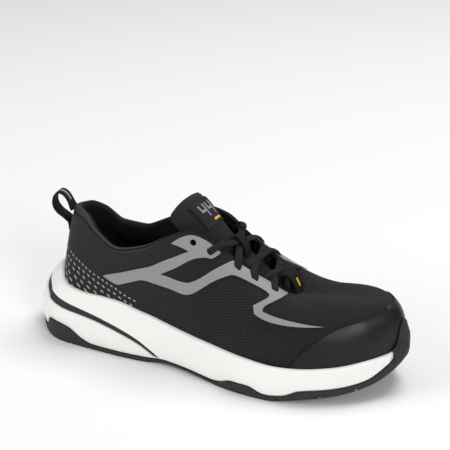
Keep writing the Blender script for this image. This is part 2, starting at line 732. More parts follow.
def rim_point(turn, angle, grow=0.0):
    """Point on the rounded edge of the opening, from the outer face round to the lining."""
    half = wall_thickness(turn, 1.0) / 2
    over = skin(turn, 1.0) - skin(turn, 1 - NUDGE)
    over /= np.linalg.norm(over, axis=-1, keepdims=True)
    reach = ((half + grow) * np.cos(angle) - half)[..., None]
    point = skin(turn, 1.0) + skin_normal(turn, 1.0) * reach
    return point + over * ((half + grow) * np.sin(angle))[..., None]


def film_seat(turn):
    share = np.clip((half_share(turn) - GUARD["at"][0] + FILM_MARGIN) / (FILM_MARGIN - FILM_EDGE), 0, 1)
    return CLEARANCE + share**2 * (3 - 2 * share) * (GUARD_FILM + CLEARANCE)


def rim_height(turn):
    return FOAM_RIM * read(FOAM, "at", "rim", half_share(turn))


def foam_cover(turn):
    return read(FOAM, "at", "cover", half_share(turn))


def rubber_top(turn):
    return plate_top(sole_point(turn)[..., 0]) + RUBBER_SWEEP * read(SWEEP, "at", "sweep", half_share(turn))


def tongue_point(share, across, lift):
    """Point of the tongue: a share of its length, of its half width, and a height over its middle."""
    share, across, lift = np.broadcast_arrays(*(np.asarray(v, dtype=float) for v in (share, across, lift)))

    def middle(place):
        place = np.clip(place, 0, 1)
        along = read(TONGUE, "share", "along", place) * SHOE_LENGTH
        return along, read(TONGUE, "share", "height", place)

    x, z = middle(share)
    (x0, z0), (x1, z1) = middle(share - NUDGE), middle(share + NUDGE)
    length = np.hypot(x1 - x0, z1 - z0)
    run_x, run_z = (x1 - x0) / length, (z1 - z0) / length
    height = lift - read(TONGUE, "share", "drop", share) * np.abs(across) ** 3
    y = across * read(TONGUE, "share", "width", share) * TONGUE_WIDTH / 2
    return np.stack([x + run_z * height, y, z - run_x * height], -1)


def tongue_half(share):
    return read(TONGUE, "share", "pad", share) * TONGUE_PAD / 2


def side_turn(at, side):
    return np.asarray(at) / 2 if side == OUTER else 1 - np.asarray(at) / 2


def even_turns(count=COLUMNS):
    """Turns round the shoe, closer together at the heel and the toe."""
    even = np.arange(count) / count
    return even - CROWDING * np.sin(4 * np.pi * even) / (4 * np.pi)


# Meshes

SHIFT = np.array([
    CAD_BOX[0][0] / TO_METRES + HEEL_FLARE,
    (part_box("tongue")[0][1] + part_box("tongue")[1][1]) / 2 / TO_METRES,
    0.0,
])


def to_frame(points):
    """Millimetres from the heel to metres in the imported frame."""
    return (np.asarray(points) + SHIFT) * TO_METRES


def add_piece(name, points, faces, looks, uv=None, face_looks=None, replaces=(), slot=None):
    """A closed mesh that rides on the shoe, with its looks and the solids it stands for."""
    mesh = bpy.data.meshes.new(name)
    mesh.from_pydata(to_frame(points).tolist(), [], [list(map(int, face)) for face in faces])
    if uv is not None:
        layer = mesh.uv_layers.new(name="cloth_mm")
        corners = np.empty(len(mesh.loops), dtype=np.int32)
        mesh.loops.foreach_get("vertex_index", corners)
        layer.data.foreach_set("uv", np.asarray(uv)[corners].astype(np.float32).ravel())
    for material in looks:
        mesh.materials.append(material)
    if face_looks is not None:
        mesh.polygons.foreach_set("material_index", np.asarray(face_looks, dtype=np.int32))
    mesh.polygons.foreach_set("use_smooth", np.ones(len(mesh.polygons), dtype=bool))
    mesh.update()
    mesh.set_sharp_from_angle(angle=np.radians(SHARPEST_BEND))
    face_outward(mesh)
    piece = bpy.data.objects.new(name, mesh)
    bpy.context.scene.collection.objects.link(piece)
    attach(piece, "root")
    if replaces:
        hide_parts(*replaces)
    return piece


def grid_faces(rows, columns, closed_rows=False, closed_columns=False):
    """Quads of a grid whose points run row after row."""
    r = np.arange(rows if closed_rows else rows - 1)
    c = np.arange(columns if closed_columns else columns - 1)
    r, c = (v.ravel() for v in np.meshgrid(r, c, indexing="ij"))
    r2, c2 = (r + 1) % rows, (c + 1) % columns
    return np.stack([r * columns + c, r * columns + c2, r2 * columns + c2, r2 * columns + c], 1)


def ladder_faces(start, size):
    """Quads that close a ring from one side to the other."""
    half, last = size // 2, start + size
    faces = [(start + i, start + i + 1, last - i - 1, last - i) for i in range(1, half - 1)]
    ends = [(start, start + 1, last - 1), (start + half - 1, start + half, start + half + 1)]
    return faces + ends


def ring_piece(name, rings, looks, **more):
    """A closed body through rings, closed across its first and last ring."""
    size = len(rings[0])
    faces = grid_faces(len(rings), size, closed_columns=True).tolist()
    faces += [face[::-1] for face in ladder_faces(0, size)]
    faces += ladder_faces((len(rings) - 1) * size, size)
    return add_piece(name, np.concatenate(rings), faces, looks, **more)


def face_outward(mesh):
    """Turns the faces of a closed mesh outward."""
    points = np.array([v.co for v in mesh.vertices])
    volume = 0.0
    for face in mesh.polygons:
        a, *rest = (points[i] for i in face.vertices)
        volume += sum(np.dot(a, np.cross(b, c)) for b, c in zip(rest, rest[1:]))
    if volume < 0:
        mesh.flip_normals()


def sheet(name, top, thickness, looks, uv=None, **more):
    """A closed sheet over a grid of points, with its thickness laid on along the grid's normals."""
    rows, columns = top.shape[:2]
    along = np.gradient(top, axis=0)
    across = np.gradient(top, axis=1)
    normal = np.cross(across, along)
    normal /= np.maximum(np.linalg.norm(normal, axis=-1, keepdims=True), SMALLEST)
    under = top - normal * thickness
    size = rows * columns
    faces = grid_faces(rows, columns)
    border = np.concatenate([
        np.arange(columns),
        np.arange(1, rows) * columns + columns - 1,
        (rows - 1) * columns + np.arange(columns - 2, -1, -1),
        np.arange(rows - 2, 0, -1) * columns,
    ])
    after = np.roll(border, -1)
    walls = np.stack([border, border + size, after + size, after], 1)
    points = np.concatenate([top.reshape(-1, 3), under.reshape(-1, 3)])
    doubled = None if uv is None else np.concatenate([uv.reshape(-1, 2)] * 2)
    faces = np.concatenate([faces, faces[:, ::-1] + size, walls])
    return add_piece(name, points, faces, looks, uv=doubled, **more)


def smooth_path(points, spacing=1.0):
    """Dense points at even lengths along a smooth curve through points."""
    points = np.asarray(points, dtype=float)
    padded = np.concatenate([[2 * points[0] - points[1]], points, [2 * points[-1] - points[-2]]])
    spans = closed_curve(padded, 40)[1 : len(points)]
    dense = np.concatenate(spans + [points[-1:]])
    lengths = np.concatenate([[0], np.cumsum(np.linalg.norm(np.diff(dense, axis=0), axis=1))])
    count = max(4, int(lengths[-1] / spacing))
    even = np.linspace(0, lengths[-1], count)
    return np.stack([np.interp(even, lengths, dense[:, k]) for k in range(dense.shape[1])], 1), even


def tube(name, path, outward, width, thickness, looks, sides=CORD_SIDES, closed=False, **more):
    """A cord with an oval section along dense points, its flat side facing outward."""
    path, outward = np.asarray(path), np.asarray(outward)
    run = np.roll(path, -1, axis=0) - np.roll(path, 1, axis=0)
    if not closed:
        run[0], run[-1] = path[1] - path[0], path[-1] - path[-2]
    run /= np.linalg.norm(run, axis=1)[:, None]
    across = np.cross(run, outward)
    across /= np.linalg.norm(across, axis=1)[:, None]
    face = np.cross(across, run)
    angles = np.arange(sides) * 2 * np.pi / sides
    ring = across[:, None] * np.cos(angles)[:, None] * width / 2
    ring = ring + face[:, None] * np.sin(angles)[:, None] * thickness / 2
    points = path[:, None] + ring
    if not closed:
        points[0] = path[0] + ring[0] * CORD_END
        points[-1] = path[-1] + ring[-1] * CORD_END
    length = np.concatenate([[0], np.cumsum(np.linalg.norm(np.diff(path, axis=0), axis=1))])
    u = np.broadcast_to(length[:, None], points.shape[:2])
    v = np.broadcast_to(angles * width / 2, points.shape[:2])
    faces = grid_faces(len(path), sides, closed_rows=closed, closed_columns=True).tolist()
    if not closed:
        faces += [list(range(sides))[::-1], list(range((len(path) - 1) * sides, len(path) * sides))]
    uv = np.stack([u, v], -1).reshape(-1, 2)
    return add_piece(name, points.reshape(-1, 3), faces, looks, uv=uv, **more)


# Materials

def linear(code):
    """Linear colour of an sRGB hex value."""
    parts = [int(code[i : i + 2], 16) / 255 for i in (0, 2, 4)]
    return tuple(c / 12.92 if c <= 0.04045 else ((c + 0.055) / 1.055) ** 2.4 for c in parts)


def add_node(tree, kind, sockets=None, **settings):
    """Adds a node, sets its properties, and sets or links the sockets given."""
    node = tree.nodes.new(kind)
    for name, value in settings.items():
        setattr(node, name, value)
    for name, value in (sockets or {}).items():
        socket = node.inputs[name]
        if isinstance(value, bpy.types.NodeSocket):
            tree.links.new(value, socket)
        else:
            socket.default_value = value
    return node


def new_material(name, colour, roughness, **sockets):
    """A material with its shader and output, and the tree to add to."""
    material = bpy.data.materials.new(name)
    material.use_nodes = True
    tree = material.node_tree
    tree.nodes.clear()
    inputs = {"Base Color": (*colour, 1), "Roughness": roughness, **sockets}
    shader = add_node(tree, "ShaderNodeBsdfPrincipled", inputs)
    add_node(tree, "ShaderNodeOutputMaterial", {"Surface": shader.outputs[0]})
    return material, tree, shader


def cloth_coordinates(tree, pitch, angle=0.0, along=1.0):
    """Cloth coordinates in millimetres over the pitch of the pattern."""
    place = add_node(tree, "ShaderNodeUVMap", uv_map="cloth_mm")
    turned = add_node(tree, "ShaderNodeMapping", {
        "Vector": place.outputs[0],
        "Rotation": (0, 0, angle),
        "Scale": (along / pitch, 1 / pitch, 1),
    })
    return turned.outputs[0]


def knit_look(props):
    """Machine knitted polyester: dull black, with staggered small dark holes that close toward the heel."""
    material, tree, shader = new_material("knitted_polyester", props.knit_colour, 0.8, **{
        "Specular IOR Level": 0.25, "Sheen Weight": 0.04, "Sheen Roughness": 0.4,
    })
    place = cloth_coordinates(tree, props.knit_pitch / TO_METRES, np.pi / 4, 0.85)
    holes = add_node(tree, "ShaderNodeTexVoronoi", {"Vector": place, "Scale": 1.0, "Randomness": 0.12})
    yarn = add_node(tree, "ShaderNodeMapRange", {
        "Value": holes.outputs["Distance"], "From Min": 0.2, "From Max": 0.55,
    })
    shoe = add_node(tree, "ShaderNodeTexCoord").outputs["Object"]
    along = add_node(tree, "ShaderNodeSeparateXYZ", {"Vector": shoe}).outputs["X"]
    mesh_part, closed_part = (
        add_node(tree, "ShaderNodeMapRange", {
            "Value": along, "From Min": -0.06, "From Max": 0.01, "To Min": start, "To Max": end,
        }).outputs[0]
        for start, end in ((0.25, 1.0), (0.75, 0.0))
    )
    height = add_node(
        tree, "ShaderNodeMath", {0: yarn.outputs[0], 1: mesh_part, 2: closed_part}, operation="MULTIPLY_ADD"
    ).outputs[0]
    finish_pattern(tree, shader, height, linear("060607"), props.knit_colour, 0.0005, 0.8)
    return material


def finish_pattern(tree, shader, height, low, high, depth, strength):
    """Darker colour in the hollows of a pattern, and its relief, depth in metres."""
    colour = add_node(tree, "ShaderNodeMix", {0: height, 6: (*low, 1), 7: (*high, 1)}, data_type="RGBA")
    tree.links.new(colour.outputs[2], shader.inputs["Base Color"])
    bump = add_node(tree, "ShaderNodeBump", {"Height": height, "Distance": depth, "Strength": strength})
    tree.links.new(bump.outputs[0], shader.inputs["Normal"])


def guard_look(props):
    """Pressed urethane film: black satin with a soft highlight, and staggered pinholes 2.1 mm apart."""
    sockets = {"Specular IOR Level": 0.3}
    material, tree, shader = new_material("pressed_urethane_film", props.guard_colour, 0.34, **sockets)
    place = cloth_coordinates(tree, 2.1, np.pi / 4)
    holes = add_node(tree, "ShaderNodeTexVoronoi", {"Vector": place, "Scale": 1.0, "Randomness": 0.0})
    height = add_node(tree, "ShaderNodeMapRange", {
        "Value": holes.outputs["Distance"], "From Min": 0.1, "From Max": 0.3,
    }).outputs[0]
    finish_pattern(tree, shader, height, linear("121213"), props.guard_colour, 0.0003, 0.35)
    return material


def grained(name, colour, roughness, grain, strength, **sockets):
    """A surface with a fine even grain, its size in millimetres."""
    material, tree, shader = new_material(name, colour, roughness, **sockets)
    place = add_node(tree, "ShaderNodeTexCoord").outputs["Object"]
    noise = add_node(tree, "ShaderNodeTexNoise", {"Vector": place, "Scale": 1000 / grain, "Detail": 3.0})
    bump = add_node(tree, "ShaderNodeBump", {
        "Height": noise.outputs[0], "Distance": 0.0001, "Strength": strength,
    })
    tree.links.new(bump.outputs[0], shader.inputs["Normal"])
    return material


DULL = {"Specular IOR Level": 0.2}


def binding_look(props):
    """Smooth polyester binding: a shade lighter than the knit, without its holes."""
    return grained("knitted_polyester_binding", linear("363637"), 0.7, 0.5, 0.3, **DULL)


def lining_look(props):
    """Brushed polyester lining: the darkest cloth, quite without gloss."""
    return grained("brushed_polyester_lining", linear("171718"), 0.95, 0.8, 0.6, **DULL)


def film_look(props):
    """Printed glass-bead film: even mid grey with a trace of grain."""
    return grained("printed_glass_bead_film", props.film_colour, 0.55, 0.3, 0.15, **DULL)


def foam_look(props):
    """Moulded foam: near white satin skin; its 1.2 mm grain is coarser than real so that it shows."""
    return grained("moulded_eva_foam", props.foam_colour, 0.55, 1.2, 0.15)


def rubber_look(props):
    """Moulded nitrile rubber: dark grey and dull, with a fine grain."""
    return grained("moulded_nitrile_rubber", props.rubber_colour, 0.6, 0.4, 0.4, **DULL)


def webbing_look(props):
    """Woven polyester tape: black, dull and a little rough."""
    return grained("woven_polyester_tape", linear("141415"), 0.8, 0.5, 0.6, **DULL)


def lace_look(props):
    """Braided polyester cord: black, with a grain as coarse as its braid."""
    return grained("braided_polyester_cord", props.lace_colour, 0.8, 0.6, 0.6, **DULL)


def label_look(props):
    """Woven patch: dark grey, a shade lighter than the tape."""
    return grained("woven_polyester_patch", linear("232426"), 0.8, 0.4, 0.5, **DULL)


def numbers_look(props):
    """Grey rubber print of the number."""
    return grained("printed_grey_rubber", linear("85878a"), 0.7, 0.4, 0.3)


def mark_look(props):
    """Yellow rubber print of the plain bars."""
    return grained("printed_yellow_rubber", linear("d9a92a"), 0.7, 0.4, 0.3)


def stripe_look(props):
    """Grey yarn woven into the loop's tape."""
    return grained("woven_grey_yarn", linear("85878a"), 0.6, 0.4, 0.4)


def print_look(props):
    """Pale print of the heel's dashes."""
    return grained("printed_pale_rubber", linear("a6a59e"), 0.7, 0.4, 0.3)


def floor_look():
    """Matt white paint of the floor."""
    material, _, _ = new_material("rolled_matt_paint", linear("f4f4f4"), 0.9)
    return material


LOOK_MAKERS = {
    "knit": knit_look, "binding": binding_look, "lining": lining_look, "film": film_look, "guard": guard_look,
    "foam": foam_look, "rubber": rubber_look, "webbing": webbing_look, "lace": lace_look, "label": label_look,
    "numbers": numbers_look, "mark": mark_look, "stripe": stripe_look, "print": print_look,
}
LOOKS = {}


def look(name):
    """A finished material by name, made the first time it is asked for."""
    if name not in LOOKS:
        LOOKS[name] = LOOK_MAKERS[name](bpy.context.scene.sneaker_looks)
    return LOOKS[name]


# Properties

def colour_property(name, description, code):
    return FloatVectorProperty(
        name=name, description=description, subtype="COLOR", size=3, min=0, max=1, default=linear(code)
    )


def length_property(name, description, metres):
    return FloatProperty(name=name, description=description, unit="LENGTH", min=0.0001, default=metres)


class SneakerLooks(bpy.types.PropertyGroup):
    """Colours and patterns of the sneaker."""

    knit_colour: colour_property("Knit", "Colour of the upper's yarn", "262627")
    film_colour: colour_property("Reflective film", "Colour of the side films", "8e9092")
    guard_colour: colour_property("Toe guard", "Colour of the film over the toe", "0c0c0d")
    foam_colour: colour_property("Foam", "Colour of the midsole", "f3f3f0")
    rubber_colour: colour_property("Rubber", "Colour of the outsole and the heel band", "303030")
    lace_colour: colour_property("Lace", "Colour of the lace", "1e1e1f")
    knit_pitch: length_property("Knit pitch", "Distance between the holes of the knit", 0.002)


class SneakerSizes(bpy.types.PropertyGroup):
    """Sizes of the parts laid on the sneaker."""

    lace_width: length_property("Lace width", "Width of the flat lace", 0.0056)
    lace_thickness: length_property("Lace thickness", "Thickness of the flat lace", 0.0022)
    piping: length_property("Piping", "Radius of the collar's piping", 0.00065)


# Pieces

def upper_grid():
    """Rings of the upper from its lower edge over the rim and down the lining."""
    turns = even_turns()
    ups, inner_ups = np.linspace(0, 1, UPPER_ROWS), np.linspace(1, 0, LINING_ROWS)
    outer = over_skin(turns[None, :], ups[:, None])
    rim = np.stack([rim_point(turns, angle) for angle in np.radians(np.arange(RIM_STEP, 180, RIM_STEP))])
    wall = wall_thickness(turns[None, :], inner_ups[:, None])
    lining = over_skin(turns[None, :], inner_ups[:, None], -wall)
    heights = np.concatenate([ups, np.ones(len(rim)), inner_ups])
    return turns, heights, np.concatenate([outer, rim, lining]), len(outer) + len(rim) // 2


def crest_height(x):
    """Height of the upper's top line at a place along the shoe."""
    ats = np.linspace(CREST_START, 1, CREST_SAMPLES)
    rim, ridge = skin(side_turn(ats, OUTER), 1.0), skin(0.5, ats[::-1])
    line = np.concatenate([rim, ridge[1:]])
    return np.interp(x, line[:, 0], line[:, 2])


def cloth_map(turn, up):
    """Rough millimetres along and across the cloth of the upper."""
    point = skin(turn, up)
    side = np.where(wrap(turn) <= 0.5, OUTER, INNER)
    x, y, z = (point[..., k] for k in range(3))
    return np.stack([x, y + side * (crest_height(x) - z)], -1)


def build_upper():
    """Hollow knitted upper with its binding and its lining."""
    turns, heights, rings, lining_start = upper_grid()
    count, size = rings.shape[:2]
    uv = cloth_map(turns[None, :], heights[:, None])
    faces = grid_faces(count, size, closed_rows=True, closed_columns=True)
    ring = np.repeat(np.arange(count), size)
    lining, binding = ring >= lining_start, (ring >= UPPER_ROWS) & (ring < lining_start)
    piece = add_piece(
        "knit_upper", rings.reshape(-1, 3), faces, [look("knit"), look("lining"), look("binding")],
        uv=uv.reshape(-1, 2), face_looks=lining + 2 * binding, replaces=["upper"], slot="knit",
    )
    pierce(piece)


def cut_out(piece, name, points, faces):
    """Cuts a closed mesh out of a piece."""
    mesh = bpy.data.meshes.new(name)
    mesh.from_pydata(to_frame(points).tolist(), [], faces)
    mesh.update()
    face_outward(mesh)
    cutter = bpy.data.objects.new(name, mesh)
    bpy.context.scene.collection.objects.link(cutter)
    cut = piece.modifiers.new(name, "BOOLEAN")
    cut.operation, cut.solver, cut.object = "DIFFERENCE", "EXACT", cutter
    bpy.context.view_layer.update()
    evaluated = piece.evaluated_get(bpy.context.evaluated_depsgraph_get())
    finished = bpy.data.meshes.new_from_object(evaluated)
    piece.modifiers.clear()
    piece.data = finished
    bpy.data.objects.remove(cutter)


def prism_faces(start, sides):
    """Faces of a prism whose first end's points come before its second end's."""
    around = [(i, (i + 1) % sides) for i in range(sides)]
    faces = [(start + i, start + j, start + sides + j, start + sides + i) for i, j in around]
    return faces + [list(range(start, start + sides))[::-1], list(range(start + sides, start + 2 * sides))]


def circle(sides):
    """Cosines and sines round a circle, as two columns."""
    angles = np.arange(sides) * 2 * np.pi / sides
    return np.cos(angles)[:, None], np.sin(angles)[:, None]


def pierce(piece):
    """Cuts the eyelets through a piece."""
    points, faces = [], []
    cosines, sines = circle(EYELET_SIDES)
    for side in (OUTER, INNER):
        for at, up in EYELETS:
            turn = side_turn(at, side)
            middle, normal = skin(turn, up), skin_normal(turn, up)
            first = np.cross(normal, [0, 0, 1.0])
            first /= np.linalg.norm(first)
            ring = middle + EYELET_RADIUS * (cosines * first + sines * np.cross(normal, first))
            faces += prism_faces(len(points), EYELET_SIDES)
            points += [*(ring - normal * EYELET_CUT_IN), *(ring + normal * EYELET_CUT_OUT)]
    cut_out(piece, "eyelet_cutter", points, faces)


def rounded(outline, passes=2, sharpest=50):
    """Outline with its gentle bends cut round and its sharp corners kept."""
    for _ in range(passes):
        before, after = np.roll(outline, 1, axis=0), np.roll(outline, -1, axis=0)
        lean = [np.arctan2(step[:, 1], step[:, 0]) for step in (outline - before, after - outline)]
        bend = np.degrees(np.abs((lean[1] - lean[0] + np.pi) % (2 * np.pi) - np.pi))
        points = []
        for i, point in enumerate(outline):
            cut = [point * 0.75 + beside * 0.25 for beside in (before[i], after[i])]
            points += [point] if bend[i] > sharpest else cut
        outline = np.array(points)
    return outline


def film_sheet(border, holes):
    """Points and triangles of a flat sheet inside its border and round its holes."""
    low, high = border.min(0), border.max(0)
    columns, rows = (np.arange(low[k], high[k], FILM_GRID) for k in (0, 1))
    inner = np.stack(np.meshgrid(columns, rows), -1).reshape(-1, 2)
    inner = inner[inside(inner, border) & (gap_to(inner, border) > FILM_GAP)]
    for hole in holes:
        inner = inner[np.linalg.norm(inner - hole.mean(0), axis=1) > 2 * EYELET_RADIUS]
    loops = [border, *holes]
    edges, start = [], 0
    for loop in loops:
        edges += [(start + i, start + (i + 1) % len(loop)) for i in range(len(loop))]
        start += len(loop)
    points = np.concatenate([*loops, inner])
    result = delaunay_2d_cdt([Vector(p) for p in points], edges, [], 0, FILM_MERGE)
    flat = np.array([list(p) for p in result[0]])
    triangles = np.array([list(face) for face in result[2]])
    centres = flat[triangles].mean(1)
    keep = inside(centres, border)
    for hole in holes:
        keep &= ~inside(centres, hole)
    return flat, triangles[keep]


def film_piece(side, name, corners):
    """Reflective film cut to its outline and laid over one side."""
    outline = rounded(corners * FILM_PLANE)
    dense = []
    for a, b in zip(outline, np.roll(outline, -1, axis=0)):
        steps = max(1, int(np.linalg.norm(b - a) / FILM_STEP))
        dense += [a + (b - a) * k / steps for k in range(steps)]
    covered = [eyelet for eyelet in EYELETS if side == OUTER or eyelet[0] < INNER_FILM_END]
    flat, triangles = film_sheet(np.array(dense), [eyelet_ring(side, eyelet) for eyelet in covered])
    at, up = (flat / FILM_PLANE).T
    turn = side_turn(at, side)
    top, under = (over_skin(turn, up, distance) for distance in (CLEARANCE + REFLECTIVE_FILM, CLEARANCE))
    size = len(flat)
    walls = [(a, b, b + size, a + size) for a, b in open_edges(triangles)]
    faces = [*triangles.tolist(), *(triangles[:, ::-1] + size).tolist(), *walls]
    add_piece(
        f"side_film_{name}", np.concatenate([top, under]), faces, [look("film")],
        uv=np.concatenate([cloth_map(turn, up)] * 2), replaces=[f"film_{name}"], slot="reflective_film",
    )


def eyelet_ring(side, eyelet, step=0.005):
    """Edge of an eyelet in the plane of the film's outline."""
    at, up = eyelet
    turn = side_turn(at, side)
    along = np.linalg.norm(skin(side_turn(at + step, side), up) - skin(turn, up)) / step / FILM_PLANE[0]
    rise = np.linalg.norm(skin(turn, up + step) - skin(turn, up)) / step / FILM_PLANE[1]
    radii = np.array([EYELET_RADIUS / along, EYELET_RADIUS / rise])
    return np.array(eyelet) * FILM_PLANE + radii * np.hstack(circle(EYELET_SIDES))


def inside(points, loop):
    """Which points lie within a closed loop."""
    x, y = points[:, 0][:, None], points[:, 1][:, None]
    x0, y0 = loop.T
    x1, y1 = np.roll(loop, -1, axis=0).T
    rise = np.where(y1 == y0, 1e-12, y1 - y0)
    crosses = ((y0 > y) != (y1 > y)) & (x < (x1 - x0) * (y - y0) / rise + x0)
    return crosses.sum(1) % 2 == 1


def gap_to(points, loop):
    """Distance of points from the nearest point of a loop."""
    return np.sqrt(((points[:, None] - loop[None]) ** 2).sum(2)).min(1)


def open_edges(triangles):
    """Edges that only one triangle has, in its order."""
    edges = np.concatenate([triangles[:, [0, 1]], triangles[:, [1, 2]], triangles[:, [2, 0]]])
    known = set(map(tuple, edges.tolist()))
    return [(b, a) for a, b in known if (b, a) not in known]


def build_films():
    film_piece(OUTER, "outer", FILM)
    film_piece(INNER, "inner", INNER_FILM)


def build_guard():
    """Toe guard film from under the foam's rim to its curved upper edge."""
    start = GUARD["at"][0] / 2 + GUARD_TRIM
    turns = np.linspace(start, 1 - start, GUARD_COLUMNS)
    ups = np.linspace(0, 1, GUARD_ROWS)[:, None] * read(GUARD, "at", "up", half_share(turns))
    turns = np.broadcast_to(turns, ups.shape)
    sheet(
        "toe_guard_film", over_skin(turns, ups, CLEARANCE + GUARD_FILM), GUARD_FILM, [look("guard")],
        uv=cloth_map(turns, ups), replaces=["toe_guard"], slot="guard_film",
    )


def through(low, middle, high, m, t):
    """Points of the curve that passes low at 0, middle at m and high at 1."""
    a = (t - m) * (t - 1) / m
    b = t * (t - 1) / (m * (m - 1))
    c = t * (t - m) / (1 - m)
    return low * a[:, None] + middle * b[:, None] + high * c[:, None]


def band_edges(along, base, rim):
    """Lower and upper edge of the band round the heel, and the depth of its channel."""
    centre = read(BAND, "along", "height", along) * FOAM_RIM
    half = BAND_WIDTH / 2 * read(BAND, "along", "width", along)
    half = np.where(along > BAND["along"][-1], 0, half)
    low, high = (np.clip(centre + reach, base, rim) for reach in (-half, half))
    return low, high, BAND_RECESS * np.clip((high - low) / BAND_FADE, 0, 1)


def foam_rings():
    """Rings of the foam with a channel round the heel for the band."""
    turns = even_turns()
    hidden = RUBBER_WALL + CLEARANCE
    rim = rim_height(turns)
    ledge = np.minimum(rubber_top(turns), rim - FOAM_EDGE) + CLEARANCE
    cover = foam_cover(turns)
    side_inset = FOAM_INSET + (hidden - FOAM_INSET) * cover
    base = ledge + FOAM_LEDGE
    bulge = ledge + (rim - ledge) * FOAM_BULGE
    low = sole_point(turns, side_inset, base)
    middle = sole_point(turns, side_inset, bulge, SIDE_FLARE)
    edge = at_height(turns, rim, film_seat(turns) + FOAM_EDGE)
    edge += (plan_point(turns, hidden, rim) - edge) * cover[:, None]
    m = (bulge - base) / (rim - base)

    def side(height, depth=0.0):
        """Ring of the foam's side at a height, sunk in by a depth."""
        point = through(low, middle, edge, m, np.clip((height - base) / (rim - base), 0, 1))
        inward = plan_point(turns, 1.0) - plan_point(turns)
        return set_height(point + inward * np.asarray(depth)[..., None], np.clip(height, base, rim))

    along = side(rim * FOAM_BULGE)[:, 0] / SHOE_LENGTH
    band_low, band_high, depth = band_edges(along, base, rim)
    rings = [
        set_height(sole_point(turns, hidden), plate_top(sole_point(turns, hidden)[:, 0]) + CLEARANCE),
        sole_point(turns, hidden, ledge),
        sole_point(turns, side_inset + FOAM_ROUND, ledge + EDGE_ROUND),
    ]
    rings += [side(base + (band_low - base) * share) for share in np.linspace(0, 1, 8)]
    lips = ((BAND_LIP, depth * BAND_LIP_DEPTH), (2 * BAND_LIP, depth + BAND_DIP))
    rings += [side(band_low + rise, dip) for rise, dip in lips]
    rings += [side(band_high - rise, dip) for rise, dip in lips[::-1]]
    rings += [side(band_high + (rim - band_high) * share) for share in np.linspace(0, 0.97, 14)]
    top = at_height(turns, rim, film_seat(turns) + FOAM_EDGE - FOAM_ROUND)
    top += (plan_point(turns, hidden + FOAM_ROUND, rim) - top) * cover[:, None]
    seat = film_seat(turns)
    rings += [
        set_height(top, rim),
        at_height(turns, rim, seat),
        over_skin(turns, up_at_height(turns, rim) / 2, seat),
        set_height(over_skin(turns, 0, seat), skin(turns, 0)[:, 2] - CLEARANCE),
    ]
    shares = np.linspace(0, 1, 9)
    depths = [depth * (1 - BAND_CROWN * np.sin(np.pi * share)) + BAND_SINK for share in shares]
    band = [side(band_low + (band_high - band_low) * share, depth) for share, depth in zip(shares, depths)]
    return rings, band, along


def build_foam():
    """Foam sole, and the rubber laid into its channel round the heel."""
    rings, band, along = foam_rings()
    ring_piece("foam_sole", rings, [look("foam")], replaces=["midsole", "heel_wedge"], slot="foam")
    shown = np.flatnonzero(along < BAND["along"][-1] - BAND_END)
    first = int(np.flatnonzero(np.diff(shown) > 1)[0]) + 1
    order = np.concatenate([shown[first:], shown[:first]])
    strip = np.stack(band)[:, order]
    sheet("heel_band_rubber", strip, BAND_LAYER, [look("rubber")], replaces=["heel_band"], slot="band_rubber")


def cut_grooves(piece):
    """Cuts the zigzag grooves of the tread."""
    points, faces = [], []
    stretches = zip(TREAD["start"], TREAD["end"], TREAD["grooves"])
    places = [x for start, end, count in stretches for x in np.linspace(start, end, int(count)) * SHOE_LENGTH]
    section = ((-1, -GROOVE_START), (1, -GROOVE_START), (GROOVE_TAPER, None), (-GROOVE_TAPER, None))
    sides = len(section)
    for x in places:
        base = len(points)
        for i in range(GROOVE_FOLDS + 1):
            fold_x = x + (TREAD_ZIG if i % 2 else -TREAD_ZIG) / 2
            fold_y = (i / GROOVE_FOLDS - 0.5) * GROOVE_REACH * BALL_WIDTH
            top = float(ground(fold_x)) + GROOVE_DEPTH
            for across, z in section:
                points.append((fold_x + across * GROOVE_WIDTH / 2, fold_y, top if z is None else z))
        for i in range(GROOVE_FOLDS):
            for k in range(sides):
                a, b = base + sides * i + k, base + sides * i + (k + 1) % sides
                faces.append((a, b, b + sides, a + sides))
        last = base + sides * GROOVE_FOLDS
        faces += [tuple(range(base, base + sides))[::-1], tuple(range(last, last + sides))]
    cut_out(piece, "groove_cutter", points, faces)


def build_outsole():
    """Rubber outsole with its tread, its side wall and its bumper."""
    turns = even_turns(OUTSOLE_COLUMNS)
    place, inner = sole_point(turns), sole_point(turns, RUBBER_WALL)
    low = sole_point(turns, RUBBER_ROUND, 0.0, BEVEL_FLARE)
    top, foot = rubber_top(turns), ground(place[:, 0])
    wall = foot + RUBBER_ROUND
    rings = [
        set_height(low, ground(low[:, 0])),
        set_height(sole_point(turns, EDGE_ROUND, 0.0, EDGE_FLARE), foot + EDGE_ROUND),
        set_height(place, wall),
        *[set_height(place, wall + (top - EDGE_ROUND - wall) * share) for share in (0.33, 0.66, 1.0)],
        set_height(sole_point(turns, EDGE_ROUND), top),
        set_height(sole_point(turns, RUBBER_WALL - INNER_ROUND), top),
        set_height(inner, top - INNER_ROUND),
        set_height(inner, plate_top(inner[:, 0])),
    ]
    piece = ring_piece("rubber_outsole", rings, [look("rubber")], replaces=["outsole"], slot="rubber")
    cut_grooves(piece)
    build_bumper()


